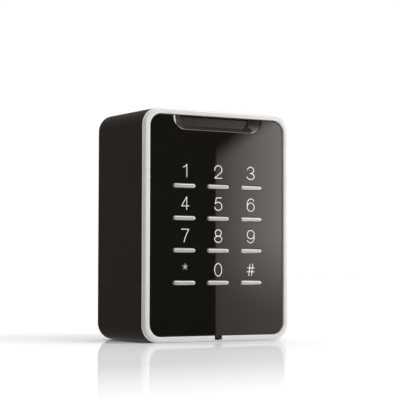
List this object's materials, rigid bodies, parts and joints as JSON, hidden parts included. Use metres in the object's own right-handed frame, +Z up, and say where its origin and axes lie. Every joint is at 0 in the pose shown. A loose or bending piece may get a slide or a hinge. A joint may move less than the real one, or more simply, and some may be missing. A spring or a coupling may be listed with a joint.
{
  "type": "rfid card reader",
  "caption": "Upright wall-mounted access reader: deep rounded case, silver front frame, gloss panel with raised bar keys and a scooped status window at the top.",
  "frame": {"origin": "centre of the flat bottom face, under the middle of the case", "axes": "+Z up the front, +X to the right as seen from the keys, -Y out of the keys, +Y into the wall"},
  "size_m": [0.0738, 0.0434, 0.1],
  "materials": {
    "housing": "fine matt texture",
    "silver_trim": "satin silver paint",
    "gloss_panel": "high gloss",
    "smoked_window": "smoked, semi-gloss",
    "silver_key": "satin silver paint",
    "silicone": "matt",
    "board": "satin",
    "copper": "enamelled",
    "diffuser": "milky",
    "lamp": "clear",
    "carrier_plastic": "matt",
    "steel": "plated",
    "terminal_plastic": "satin",
    "relay_plastic": "satin",
    "dark_plastic": "satin",
    "capacitor_sleeve": "shrink sleeve",
    "plunger_plastic": "smooth",
    "rubber": "matt"
  },
  "bodies": {
    "reader_body": {"rear_housing": "housing", "front_frame": "silver_trim", "front_panel": "gloss_panel", "status_window": "smoked_window", "keypad_mat": "silicone", "keypad_board": "board", "control_board": "board", "antenna_coil": "copper", "light_guide": "diffuser", "status_lamp_red": "lamp", "status_lamp_green": "lamp", "status_lamp_blue": "lamp", "board_carrier": "carrier_plastic", "panel_screw_1": "steel", "panel_screw_2": "steel", "panel_screw_3": "steel", "panel_screw_4": "steel", "board_screw_1": "steel", "board_screw_2": "steel", "board_screw_3": "steel", "board_screw_4": "steel", "terminal_screw_1": "steel", "terminal_screw_2": "steel", "terminal_screw_3": "steel", "terminal_screw_4": "steel", "terminal_screw_5": "steel", "terminal_screw_6": "steel", "terminal_block": "terminal_plastic", "relay": "relay_plastic", "buzzer": "dark_plastic", "microcontroller": "dark_plastic", "reader_chip": "dark_plastic", "header_socket": "dark_plastic", "pin_header": "dark_plastic", "tamper_switch": "dark_plastic", "capacitor_1": "capacitor_sleeve", "capacitor_2": "capacitor_sleeve", "housing_gasket": "rubber", "cable_grommet": "rubber"},
    "key_1_body": {"key_1": "silver_key"},
    "key_2_body": {"key_2": "silver_key"},
    "key_3_body": {"key_3": "silver_key"},
    "key_4_body": {"key_4": "silver_key"},
    "key_5_body": {"key_5": "silver_key"},
    "key_6_body": {"key_6": "silver_key"},
    "key_7_body": {"key_7": "silver_key"},
    "key_8_body": {"key_8": "silver_key"},
    "key_9_body": {"key_9": "silver_key"},
    "key_star_body": {"key_star": "silver_key"},
    "key_0_body": {"key_0": "silver_key"},
    "key_hash_body": {"key_hash": "silver_key"},
    "tamper_plunger_body": {"tamper_plunger": "plunger_plastic"}
  },
  "joints": [
    {"name": "key_1_press", "type": "slide", "parent": "reader_body", "child": "key_1_body", "axis": [0, 1, 0], "range_m": [0, 0.0006], "stiffness_N_per_m": 900, "deforming": ["keypad_mat"]},
    {"name": "key_2_press", "type": "slide", "parent": "reader_body", "child": "key_2_body", "axis": [0, 1, 0], "range_m": [0, 0.0006], "stiffness_N_per_m": 900, "deforming": ["keypad_mat"]},
    {"name": "key_3_press", "type": "slide", "parent": "reader_body", "child": "key_3_body", "axis": [0, 1, 0], "range_m": [0, 0.0006], "stiffness_N_per_m": 900, "deforming": ["keypad_mat"]},
    {"name": "key_4_press", "type": "slide", "parent": "reader_body", "child": "key_4_body", "axis": [0, 1, 0], "range_m": [0, 0.0006], "stiffness_N_per_m": 900, "deforming": ["keypad_mat"]},
    {"name": "key_5_press", "type": "slide", "parent": "reader_body", "child": "key_5_body", "axis": [0, 1, 0], "range_m": [0, 0.0006], "stiffness_N_per_m": 900, "deforming": ["keypad_mat"]},
    {"name": "key_6_press", "type": "slide", "parent": "reader_body", "child": "key_6_body", "axis": [0, 1, 0], "range_m": [0, 0.0006], "stiffness_N_per_m": 900, "deforming": ["keypad_mat"]},
    {"name": "key_7_press", "type": "slide", "parent": "reader_body", "child": "key_7_body", "axis": [0, 1, 0], "range_m": [0, 0.0006], "stiffness_N_per_m": 900, "deforming": ["keypad_mat"]},
    {"name": "key_8_press", "type": "slide", "parent": "reader_body", "child": "key_8_body", "axis": [0, 1, 0], "range_m": [0, 0.0006], "stiffness_N_per_m": 900, "deforming": ["keypad_mat"]},
    {"name": "key_9_press", "type": "slide", "parent": "reader_body", "child": "key_9_body", "axis": [0, 1, 0], "range_m": [0, 0.0006], "stiffness_N_per_m": 900, "deforming": ["keypad_mat"]},
    {"name": "key_star_press", "type": "slide", "parent": "reader_body", "child": "key_star_body", "axis": [0, 1, 0], "range_m": [0, 0.0006], "stiffness_N_per_m": 900, "deforming": ["keypad_mat"]},
    {"name": "key_0_press", "type": "slide", "parent": "reader_body", "child": "key_0_body", "axis": [0, 1, 0], "range_m": [0, 0.0006], "stiffness_N_per_m": 900, "deforming": ["keypad_mat"]},
    {"name": "key_hash_press", "type": "slide", "parent": "reader_body", "child": "key_hash_body", "axis": [0, 1, 0], "range_m": [0, 0.0006], "stiffness_N_per_m": 900, "deforming": ["keypad_mat"]},
    {"name": "tamper_plunger_press", "type": "slide", "parent": "reader_body", "child": "tamper_plunger_body", "axis": [0, -1, 0], "range_m": [0, 0.0006], "stiffness_N_per_m": 300}
  ]
}
